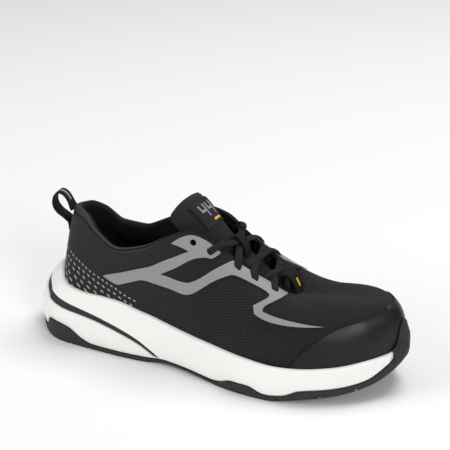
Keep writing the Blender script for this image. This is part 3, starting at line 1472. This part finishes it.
def build_bumper():
    """Ribbed rubber bumper that rises over the toe."""
    start = BUMPER["at"][0] / 2
    turns = np.linspace(start, 1 - start, BUMPER_COLUMNS)
    half = half_share(turns)
    seat = rim_height(turns) + CLEARANCE
    top = seat + (BUMPER_HEIGHT - seat) * read(BUMPER, "at", "top", half)
    low = ground(plan_point(turns)[:, 0]) + RUBBER_PLATE / 2
    gap = film_seat(turns)
    lip = at_height(turns, top, gap + 2 * BUMPER_STEP)
    ribbed = RIB_DEPTH * np.clip((half - RIB_START) / RIB_FADE, 0, 1)
    rings = []
    for share in np.linspace(0, 1, BUMPER_ROWS):
        wave = 0.5 + 0.5 * np.cos(2 * np.pi * BUMPER_RIBS * share)
        rib = ribbed * wave * np.clip(RIB_REACH - share, 0, 1)
        step = BUMPER_STEP * read(BUMPER_BULGE, "share", "bulge", share) - rib
        bow = plan_point(turns, -step, low + (top - low) * share)
        blend = np.clip((share - LIP_START) / (1 - LIP_START), 0, 1) ** 1.5
        rings.append(bow + (set_height(lip, bow[:, 2]) - bow) * blend)
    rings += [at_height(turns, seat + (top - seat) * share, gap) for share in np.linspace(1, 0, 7)]
    rings += [plan_point(turns, RUBBER_WALL, height) for height in (seat, low)]
    sections = np.stack(rings, 1)
    count, size = sections.shape[:2]
    faces = grid_faces(count, size, closed_columns=True).tolist()
    faces += [list(range(size))[::-1], list(range((count - 1) * size, count * size))]
    add_piece("toe_bumper", sections.reshape(-1, 3), faces, [look("rubber")], slot="rubber")


def build_insole():
    """Cloth covered insole with a rounded edge."""
    turns = even_turns(INSOLE_COLUMNS)
    inside_face = -UPPER_WALL - 2 * CLEARANCE
    base = skin(turns, 0)[:, 2] + CLEARANCE
    rings = [set_height(over_skin(turns, 0, inside_face), base)]
    for drop, inset in INSOLE_EDGE:
        rings.append(at_height(turns, base + INSOLE_THICKNESS - drop, inside_face - inset))
    ring_piece("cloth_insole", rings, [look("lining")], replaces=["insole"], slot="insole_cloth")


def build_tongue():
    """Padded tongue with a rounded edge."""
    shares = np.linspace(0, 1, TONGUE_ROWS)
    cosines, sines = (column[:, 0] for column in circle(TONGUE_COLUMNS))
    lift = np.sign(sines) * np.abs(sines) ** TONGUE_ROUNDNESS
    rings = [tongue_point(share, -cosines, lift * tongue_half(share)) for share in shares]
    uv = np.stack(np.broadcast_arrays(shares[:, None] * TONGUE_CLOTH[0], cosines * TONGUE_CLOTH[1]), -1)
    piece = ring_piece(
        "padded_tongue", rings, [look("knit")], uv=uv.reshape(-1, 2), replaces=["tongue"], slot="knit",
    )
    build_gusset()
    build_label()


def patch_on_tongue(name, start, end, left, right, height, thickness, looks, **more):
    """Cloth patch on the tongue between two shares of its length and of its half width."""
    shares = np.linspace(start, end, max(3, round(abs(end - start) * PATCH_ROWS)))
    across = np.linspace(left, right, max(3, round(abs(right - left) * PATCH_COLUMNS)))
    top = tongue_point(shares[:, None], across[None, :], tongue_half(shares)[:, None] + height)
    sheet(name, top, thickness, looks, **more)


def build_gusset():
    """Knit webs that close the gap between the tongue and the edges of the throat."""
    for side, name in ((OUTER, "outer"), (INNER, "inner")):
        turns = side_turn(np.linspace(*GUSSET_SPAN, GUSSET_COLUMNS), side)
        edge = over_skin(turns, GUSSET_EDGE, -wall_thickness(turns, GUSSET_EDGE) - GUSSET)
        middle = np.stack([over_tongue(x, -GUSSET, side * GUSSET_EDGE) for x in edge[:, 0]])
        share = np.linspace(0, 1, GUSSET_ROWS)[:, None, None]
        web = edge + (middle - edge) * share
        web[..., 2] -= GUSSET_SAG * np.sin(np.pi * share[..., 0])
        uv = np.stack(np.broadcast_arrays(edge[:, 0], share[..., 0] * GUSSET_DEPTH), -1)
        sheet(f"tongue_gusset_{name}", web, GUSSET, [look("knit")], uv=uv, slot="knit")


def build_label():
    """Woven patch with a plain number and a bar, placed in shares of the patch."""
    length = LABEL_END - LABEL_START
    patch_on_tongue(
        "label_patch", LABEL_START, LABEL_END, -LABEL_HALF, LABEL_HALF, LABEL_RISE, LABEL_THICKNESS,
        [look("label")], replaces=["tongue_label"], slot="label_cloth",
    )

    def printed(name, near, far, left, right, colour):
        patch_on_tongue(
            name, LABEL_END - near * length, LABEL_END - far * length, left * LABEL_HALF, right * LABEL_HALF,
            LABEL_PRINT_RISE, PRINT, [look(colour)],
        )

    high, low, width, stroke, half_bar = 0.18, 0.68, 0.54, 0.12, 0.045
    middle = (high + low) / 2
    for i, left in enumerate((-0.62, 0.08)):
        right = left + width
        bars = (
            (middle, high, left, left + stroke),
            (low, high, right - stroke, right),
            (middle + half_bar, middle - half_bar, left, right),
        )
        for k, bar in enumerate(bars):
            printed(f"label_number_{i}_{k}", *bar, "numbers")
    printed("label_bar", 0.88, 0.8, -0.1, 0.62, "mark")


def over_tongue(x, distance, across=0.0):
    """Point over the tongue at a place along the length."""
    low, high = 0.0, 1.0
    for _ in range(HALVINGS):
        middle = (low + high) / 2
        point = tongue_point(middle, across, tongue_half(middle) + distance)
        low, high = (middle, high) if point[0] > x else (low, middle)
    return tongue_point(low, across, tongue_half(low) + distance)


def lace_strand(props, start_side):
    """Way points of one half of the lace, with the outward direction at each."""
    thickness = props.lace_thickness / TO_METRES
    seat = thickness / 2 + REFLECTIVE_FILM + 2 * CLEARANCE
    rows = EYELETS[:0:-1]
    points, normals = [], []

    def put(point, normal):
        points.append(np.asarray(point, dtype=float))
        normals.append(np.asarray(normal, dtype=float))

    def moved(at, reach):
        return at + reach / X_PER_AT

    def mirrored(vector):
        return np.array(vector) * (1, side, 1)

    side, dive = start_side, 0.0
    for i, (at, up) in enumerate(rows):
        crest, next_dive = LACE_CREST[len(rows) - i], LACE_DIVE[len(rows) - 1 - i]
        turn = side_turn(at, side)
        normal = skin_normal(turn, up)
        wall = float(wall_thickness(turn, up))
        under = side_turn(moved(at, dive * UNDER_SHARE), side)
        put(skin(under, UNDER_UP) - skin_normal(under, UNDER_UP) * (wall + seat - UNDER_LIFT), normal)
        put(skin(turn, up) - normal * (wall + LACE_INSIDE), normal)
        put(skin(turn, up) + normal * LACE_OUTSIDE, normal)
        over = skin(side_turn(moved(at, crest), side), 1.0) + np.array([0, 0, LACE_RISE])
        put(over, mirrored(OVER_EDGE))
        if i == len(rows) - 1:
            break
        landing = skin(side_turn(moved(rows[i + 1][0], next_dive), -side), 1.0)
        landing += np.array([0, side * LANDING_INSET, LACE_RISE * LANDING_SHARE])
        raised = LACE_SAG + (thickness if side == INNER else 0)
        put((over + landing) / 2 + np.array([0, 0, raised]), MIDWAY)
        put(landing, mirrored(LANDING))
        side, dive = -side, next_dive
    put(over + mirrored(LACE_END), AT_END)
    return points, normals


def build_laces():
    """One lace run up through the eyelets in a criss-cross from the bar at the front."""
    props = bpy.context.scene.sneaker_sizes
    thickness = props.lace_thickness / TO_METRES
    (outer, outer_out), (inner, inner_out) = (lace_strand(props, side) for side in (OUTER, INNER))
    middle = over_tongue(LACE_BAR_X, thickness / 2 + 2 * CLEARANCE)
    points = np.array([*outer[::-1], middle, *inner])
    normals = np.array([*outer_out[::-1], MIDWAY, *inner_out])
    joined, _ = smooth_path(np.column_stack([points, normals * SMALLEST]), LACE_STEP)
    outward = joined[:, 3:]
    outward /= np.linalg.norm(outward, axis=1)[:, None]
    crossings = [f"lace_crossing_{number}" for number in (1, 2, 3)]
    tube(
        "braided_lace", joined[:, :3], outward, props.lace_width / TO_METRES, thickness, [look("lace")],
        replaces=[*crossings, "lace_bar", "lace_end_outer", "lace_end_inner"], slot="lace_cord",
    )


def webbing(name, path, width, looks, lift=0.0, turn_at=None, span=(0, 1), thickness=WEBBING_THICKNESS,
            **more):
    """Flat tape along a path of x and z over the middle of the shoe."""
    dense, _ = smooth_path(np.array([(x, 0.0, z) for x, z in path]), TAPE_STEP)
    run = np.gradient(dense, axis=0)
    run /= np.linalg.norm(run, axis=1)[:, None]
    out = np.stack([-run[:, 2], np.zeros(len(run)), run[:, 0]], 1)
    shares = np.linspace(0, 1, len(dense))
    turn = np.radians(turn_at(shares)) if turn_at else np.zeros(len(dense))
    sideways = np.stack([-np.sin(turn), np.cos(turn), np.zeros(len(dense))], 1)
    across = np.linspace(width / 2, -width / 2, TAPE_COLUMNS)
    top = (dense + out * (WEBBING_THICKNESS / 2 + lift))[:, None] + sideways[:, None] * across[:, None]
    uv = np.stack(np.broadcast_arrays(shares[:, None] * len(dense) * TAPE_STEP, across[None, :]), -1)
    kept = (shares >= span[0]) & (shares <= span[1])
    sheet(name, top[kept], thickness, looks, uv=uv[kept], **more)


def tape_path(rows, start, end, low, high):
    """Points of a free tape from the table of its shares."""
    shares = zip(rows["back"], rows["rise"])
    return [(start + (end - start) * back, low + (high - low) * rise) for back, rise in shares]


def loop_path():
    """The loop's tape from its seam on the heel, out, up and back into the collar."""
    seat = 2 * CLEARANCE + WEBBING_THICKNESS / 2
    seam = [over_skin(0.0, up, rise * seat) for up, rise in LOOP_SEAM]
    edge, end = over_skin(0.0, 1.0, seat), over_skin(0.0, LOOP_END, seat)
    free = tape_path(LOOP, edge[0], edge[0] - LOOP_REACH, seam[-1][2], edge[2] + LOOP_RISE)
    return [*((p[0], p[2]) for p in seam), *free, (end[0], end[2])]


def build_loop():
    """Twisted pull loop at the heel with a plain stripe."""
    path = loop_path()

    def turn_at(shares):
        return LOOP_TWIST * read(LOOP_TURN, "share", "turn", shares)

    webbing(
        "pull_tape", path, LOOP_WIDTH, [look("webbing")], lift=LOOP_PUFF, turn_at=turn_at,
        replaces=["pull_loop"], slot="webbing",
    )
    webbing(
        "pull_tape_stripe", path, STRIPE_WIDTH, [look("stripe")], lift=LOOP_PUFF + PRINT_RISE,
        turn_at=turn_at, span=STRIPE_SPAN, thickness=PRINT, slot="webbing",
    )


def keeper_path():
    """The keeper's tape from the front of the throat over to the tongue."""
    seat = CLEARANCE + WEBBING_THICKNESS / 2
    front = over_skin(0.5, KEEPER_FRONT, seat + 4 * CLEARANCE)
    rear = tongue_point(KEEPER_SHARE, 0, tongue_half(KEEPER_SHARE) + seat + CLEARANCE)
    free = tape_path(KEEPER, front[0], rear[0], front[2], skin(0.5, 1.0)[2] + KEEPER_RISE)
    return [(front[0], front[2]), *free, (rear[0], rear[2])]


def build_keeper():
    """Tape at the front of the throat that holds the lace, with a plain mark on its front."""
    path, under = keeper_path(), PRINT - WEBBING_THICKNESS - PRINT_RISE
    webbing("keeper_tape", path, KEEPER_WIDTH, [look("webbing")], replaces=["lace_keeper"], slot="webbing")
    webbing("keeper_mark", path, MARK_WIDTH, [look("mark")], lift=under, span=MARK_SPAN, thickness=PRINT)


def build_strap():
    """Tape sewn along the tongue that the lace passes under."""
    path = [over_tongue(x, rise)[[0, 2]] for x, rise in STRAP]
    webbing("tongue_strap", path, STRAP_WIDTH, [look("webbing")], slot="webbing")


def build_piping():
    """Rolled seam round the collar, on the side at the heel and over the rim from the ankle to the throat."""
    radius = bpy.context.scene.sneaker_sizes.piping / TO_METRES
    turns = even_turns()
    low = over_skin(turns, PIPING_UP, radius * PIPING_SEAT)
    high = rim_point(turns, np.radians(PIPING_ANGLE), radius * PIPING_SEAT)
    share = read(PIPING_RISE, "at", "share", half_share(turns))[:, None]
    tube(
        "collar_piping", low + (high - low) * share, skin_normal(turns, PIPING_UP), 2 * radius, 2 * radius,
        [look("lining")], sides=PIPING_SIDES, closed=True, slot="webbing",
    )


def build_dashes():
    """Short printed dashes in rows over the heel, larger toward the foam."""
    points, faces = [], []
    cosines, sines = circle(DASH_SIDES)
    long_side = np.sign(cosines) * np.abs(cosines) ** 0.6
    for side in (OUTER, INNER):
        for k in np.unique(DASHES["row"]):
            row = {name: values[DASHES["row"] == k] for name, values in DASHES.items()}
            places = np.arange(int(row["place"][-1]) + 1)
            half_length = DASH_LENGTH * (1 + DASH_GROWTH * k) / 2
            half_width = DASH_WIDTH * (1 + DASH_WIDENING * k) / 2
            for at, up in zip(*(np.interp(places, row["place"], row[name]) for name in ("at", "up"))):
                turn, ahead = (side_turn(place, side) for place in (at, at + DASH_LEAN_AT))
                middle, normal = skin(turn, up), skin_normal(turn, up)
                run = skin(ahead, up + DASH_LEAN_UP) - middle
                run -= normal * np.dot(run, normal)
                run /= np.linalg.norm(run)
                ring = middle + long_side * run * half_length + sines * np.cross(normal, run) * half_width
                faces += prism_faces(len(points), DASH_SIDES)
                points += [*(ring + normal * DASH_RISE), *(ring - normal * DASH_RISE)]
    add_piece("heel_dashes", points, faces, [look("print")])


# Stage

def camera_axes():
    """Directions to the right, up and back from the camera."""
    turn, lift, roll = np.radians([CAMERA_TURN, CAMERA_LIFT, CAMERA_ROLL])
    right = np.array([np.cos(turn), np.sin(turn), 0])
    back = np.array([np.sin(turn) * np.cos(lift), -np.cos(turn) * np.cos(lift), np.sin(lift)])
    up = np.cross(back, right)
    return np.cos(roll) * right - np.sin(roll) * up, np.sin(roll) * right + np.cos(roll) * up, back


def add_light(name, place, aim, size, power):
    """Round soft light aimed at a point."""
    light = bpy.data.lights.new(name, "AREA")
    light.shape, light.size, light.energy = "DISK", size, power
    item = bpy.data.objects.new(name, light)
    item.location = place
    item.rotation_euler = (Vector(aim) - Vector(place)).to_track_quat("-Z", "Y").to_euler()
    bpy.context.scene.collection.objects.link(item)


def add_camera():
    """Camera at the photo's angle."""
    camera = bpy.data.objects.new("camera", bpy.data.cameras.new("camera"))
    camera.data.lens = CAMERA_LENS
    camera.data.clip_start, camera.data.clip_end = CAMERA_CLIP
    turned = Matrix(np.column_stack(camera_axes()).tolist()).to_4x4()
    camera.matrix_world = Matrix.Translation(to_frame(CAMERA_PLACE)) @ turned
    bpy.context.scene.collection.objects.link(camera)
    bpy.context.scene.camera = camera


def add_floor():
    """Plain pale floor."""
    mesh = bpy.data.meshes.new("floor")
    corners = [(x * FLOOR_REACH, y * FLOOR_REACH, 0) for x, y in ((-1, -1), (1, -1), (1, 1), (-1, 1))]
    mesh.from_pydata(corners, [], [(0, 1, 2, 3)])
    mesh.materials.append(floor_look())
    floor = bpy.data.objects.new("floor", mesh)
    bpy.context.scene.collection.objects.link(floor)


def build_stage():
    """Camera, floor, pale world and soft lights."""
    scene = bpy.context.scene
    add_camera()
    add_floor()
    world = bpy.data.worlds.new("studio")
    world.use_nodes = True
    background = world.node_tree.nodes["Background"]
    background.inputs["Color"].default_value = (1, 1, 1, 1)
    background.inputs["Strength"].default_value = WORLD_LIGHT
    scene.world = world
    scene.view_settings.view_transform = "Standard"
    for light in LIGHTS:
        add_light(*light)


# Operators

class SNEAKER_OT_upper(bpy.types.Operator):
    """Knits the hollow upper with its lining and its eyelets"""
    bl_idname = "sneaker.upper"
    bl_label = "Upper"

    def execute(self, context):
        build_upper()
        build_piping()
        build_dashes()
        return {"FINISHED"}


class SNEAKER_OT_films(bpy.types.Operator):
    """Lays the reflective films and the toe guard on the upper"""
    bl_idname = "sneaker.films"
    bl_label = "Films"

    def execute(self, context):
        build_films()
        build_guard()
        return {"FINISHED"}


class SNEAKER_OT_foam(bpy.types.Operator):
    """Moulds the foam of the sole with the rubber band round its heel"""
    bl_idname = "sneaker.foam"
    bl_label = "Foam sole"

    def execute(self, context):
        build_foam()
        build_insole()
        return {"FINISHED"}


class SNEAKER_OT_outsole(bpy.types.Operator):
    """Moulds the rubber outsole with its grooves and its toe bumper"""
    bl_idname = "sneaker.outsole"
    bl_label = "Outsole"

    def execute(self, context):
        build_outsole()
        return {"FINISHED"}


class SNEAKER_OT_tongue(bpy.types.Operator):
    """Sews the padded tongue with its label"""
    bl_idname = "sneaker.tongue"
    bl_label = "Tongue"

    def execute(self, context):
        build_tongue()
        return {"FINISHED"}


class SNEAKER_OT_laces(bpy.types.Operator):
    """Runs the lace through the eyelets and the keeper"""
    bl_idname = "sneaker.laces"
    bl_label = "Laces"

    def execute(self, context):
        build_laces()
        build_keeper()
        build_strap()
        return {"FINISHED"}


class SNEAKER_OT_loop(bpy.types.Operator):
    """Sews the pull loop to the heel"""
    bl_idname = "sneaker.loop"
    bl_label = "Pull loop"

    def execute(self, context):
        build_loop()
        return {"FINISHED"}


class SNEAKER_OT_stage(bpy.types.Operator):
    """Sets the floor, the lights and the camera"""
    bl_idname = "sneaker.stage"
    bl_label = "Stage"

    def execute(self, context):
        build_stage()
        return {"FINISHED"}


OPERATORS = (
    SNEAKER_OT_stage, SNEAKER_OT_upper, SNEAKER_OT_films, SNEAKER_OT_foam, SNEAKER_OT_outsole,
    SNEAKER_OT_tongue, SNEAKER_OT_laces, SNEAKER_OT_loop,
)


class SNEAKER_PT_panel(bpy.types.Panel):
    """Lists the parts of the sneaker"""
    bl_label = "Safety Sneaker"
    bl_idname = "SNEAKER_PT_panel"
    bl_space_type = "VIEW_3D"
    bl_region_type = "UI"
    bl_category = "Sneaker"

    def draw(self, context):
        for group in (context.scene.sneaker_looks, context.scene.sneaker_sizes):
            for name in group.bl_rna.properties.keys():
                if name not in ("rna_type", "name"):
                    self.layout.prop(group, name)
        for operator in OPERATORS:
            self.layout.operator(operator.bl_idname)


CLASSES = (SneakerLooks, SneakerSizes, *OPERATORS, SNEAKER_PT_panel)


def register():
    for item in CLASSES:
        bpy.utils.register_class(item)
    bpy.types.Scene.sneaker_looks = PointerProperty(type=SneakerLooks)
    bpy.types.Scene.sneaker_sizes = PointerProperty(type=SneakerSizes)


def unregister():
    del bpy.types.Scene.sneaker_looks
    del bpy.types.Scene.sneaker_sizes
    for item in reversed(CLASSES):
        bpy.utils.unregister_class(item)


def main():
    """Builds the sneaker and its stage."""
    register()
    for operator in OPERATORS:
        group, name = operator.bl_idname.split(".")
        getattr(getattr(bpy.ops, group), name)()


if __name__ == "__main__":
    main()
